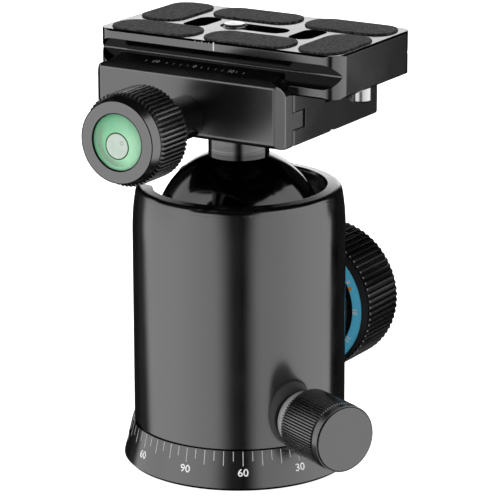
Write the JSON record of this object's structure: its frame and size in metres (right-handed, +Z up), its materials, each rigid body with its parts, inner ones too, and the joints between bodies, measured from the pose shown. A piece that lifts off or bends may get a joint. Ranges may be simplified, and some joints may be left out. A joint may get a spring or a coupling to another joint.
{
  "type": "tripod ball head",
  "caption": "Camera ball head with a panning base, side lock knobs, a numbered drag dial, a drop notch and a dovetail clamp with a bubble level and a sliding camera plate.",
  "frame": {"origin": "centre of the base's underside, on the tripod thread's axis", "axes": "+Z up along the pan axis; +X out along the main lock knob; +Y out through the drop notch; at rest the clamp's knob points along -X and the plate's long side runs along Y"},
  "size_m": [0.1052, 0.0758, 0.1126],
  "materials": {
    "black_anodised": "fine-blasted black anodised, satin",
    "plate_anodised": "black anodised, satin, lighter where flat",
    "ball_finish": "polished black anodised",
    "knob_black": "black anodised over cut serrations",
    "bright_steel": "turned bright steel",
    "bearing_steel": "turned steel, lightly oiled",
    "plain_aluminium": "machined, bare",
    "brass": "machined",
    "acetal": "moulded, waxy",
    "dial_black": "moulded, satin",
    "dial_blue": "blue face with printed white numbers",
    "pad_rubber": "grained black rubber",
    "vial_clear": "clear green acrylic",
    "vial_fluid": "clear green spirit",
    "vial_bubble": "air bubble"
  },
  "bodies": {
    "base": {"pan_base": "black_anodised", "thread_bush": "bright_steel", "base_screws": "bright_steel", "pan_spindle": "bearing_steel", "pan_washer": "acetal", "spindle_nut": "bearing_steel"},
    "housing": {"housing": "black_anodised", "housing_floor": "plain_aluminium", "upper_ball_ring": "acetal", "wedge_bed": "bearing_steel", "pressure_plate": "plain_aluminium", "lock_boss": "knob_black"},
    "wedge": {"lock_wedge": "brass"},
    "main_knob": {"lock_shaft": "bearing_steel", "lock_knob": "knob_black", "lock_knob_cap": "knob_black"},
    "drag_dial": {"dial_ring": "dial_black", "dial_scale": "dial_blue"},
    "pan_lock": {"pan_stud": "bearing_steel", "pan_knob": "black_anodised"},
    "pan_brake": {"pan_plug": "acetal"},
    "seat": {"ball_seat": "acetal"},
    "ball": {"ball_stem": "ball_finish", "stem_bolt": "bearing_steel"},
    "clamp": {"clamp_base": "black_anodised", "jaw_pins": "bright_steel", "jaw_springs": "bright_steel"},
    "jaw": {"movable_jaw": "black_anodised"},
    "jaw_knob": {"clamp_screw": "bright_steel", "knob_sleeve": "black_anodised", "clamp_knob": "knob_black", "level_vial": "vial_clear", "level_fluid": "vial_fluid", "level_bubble": "vial_bubble"},
    "plate": {"quick_plate": "plate_anodised", "plate_pads": "pad_rubber", "stop_screws": "bright_steel"},
    "clip": {"screw_clip": "bright_steel"},
    "camera_bolt": {"camera_screw": "bright_steel"}
  },
  "joints": [
    {"name": "pan", "type": "hinge", "parent": "base", "child": "housing", "pos_m": [0, 0, 0.01], "axis": [0, 0, 1], "continuous": true},
    {"name": "main_lock_turn", "type": "hinge", "parent": "housing", "child": "main_knob", "pos_m": [0.04, 0, 0.0315], "axis": [-1, 0, 0], "range_deg": [0, 300]},
    {"name": "wedge_slide", "type": "slide", "parent": "housing", "child": "wedge", "axis": [-1, 0, 0], "range_m": [0, 0.001]},
    {"name": "drag_dial_turn", "type": "hinge", "parent": "main_knob", "child": "drag_dial", "pos_m": [0.033, 0, 0.0315], "axis": [1, 0, 0], "range_deg": [0, 300]},
    {"name": "pan_lock_turn", "type": "hinge", "parent": "housing", "child": "pan_lock", "pos_m": [-0.0169, -0.03625, 0.0172], "axis": [0.4226, 0.9063, 0], "range_deg": [0, 270]},
    {"name": "pan_brake_slide", "type": "slide", "parent": "housing", "child": "pan_brake", "axis": [0.4226, 0.9063, 0], "range_m": [0, 0.0003]},
    {"name": "tilt_direction", "type": "hinge", "parent": "housing", "child": "seat", "pos_m": [0, 0, 0.0593], "axis": [0, 0, 1], "range_deg": [-180, 0]},
    {"name": "tilt", "type": "hinge", "parent": "seat", "child": "ball", "pos_m": [0, 0, 0.0593], "axis": [-1, 0, 0], "range_deg": [-40, 90]},
    {"name": "head_turn", "type": "hinge", "parent": "ball", "child": "clamp", "pos_m": [0, 0, 0.0887], "axis": [0, 0, 1], "range_deg": [-180, 180]},
    {"name": "jaw_screw_turn", "type": "hinge", "parent": "jaw", "child": "jaw_knob", "pos_m": [-0.04, 0, 0.0939], "axis": [-1, 0, 0], "range_deg": [0, 1260]},
    {"name": "jaw_slide", "type": "slide", "parent": "clamp", "child": "jaw", "axis": [-1, 0, 0], "range_m": [0, 0.0035]},
    {"name": "plate_slide", "type": "slide", "parent": "clamp", "child": "plate", "axis": [0, 1, 0], "range_m": [-0.0075, 0.0165]},
    {"name": "camera_screw_slide", "type": "slide", "parent": "plate", "child": "clip", "axis": [0, 1, 0], "range_m": [-0.0118, 0]},
    {"name": "camera_screw_turn", "type": "hinge", "parent": "clip", "child": "camera_bolt", "pos_m": [0, 0.0012, 0.1043], "axis": [0, 0, 1], "continuous": true}
  ],
  "couplings": [
    {"joint": "wedge_slide", "follows": "main_lock_turn", "m_per_rad": 0.00019},
    {"joint": "pan_brake_slide", "follows": "pan_lock_turn", "m_per_rad": 0.000063},
    {"joint": "jaw_screw_turn", "follows": "jaw_slide", "rad_per_m": 6283.2}
  ]
}
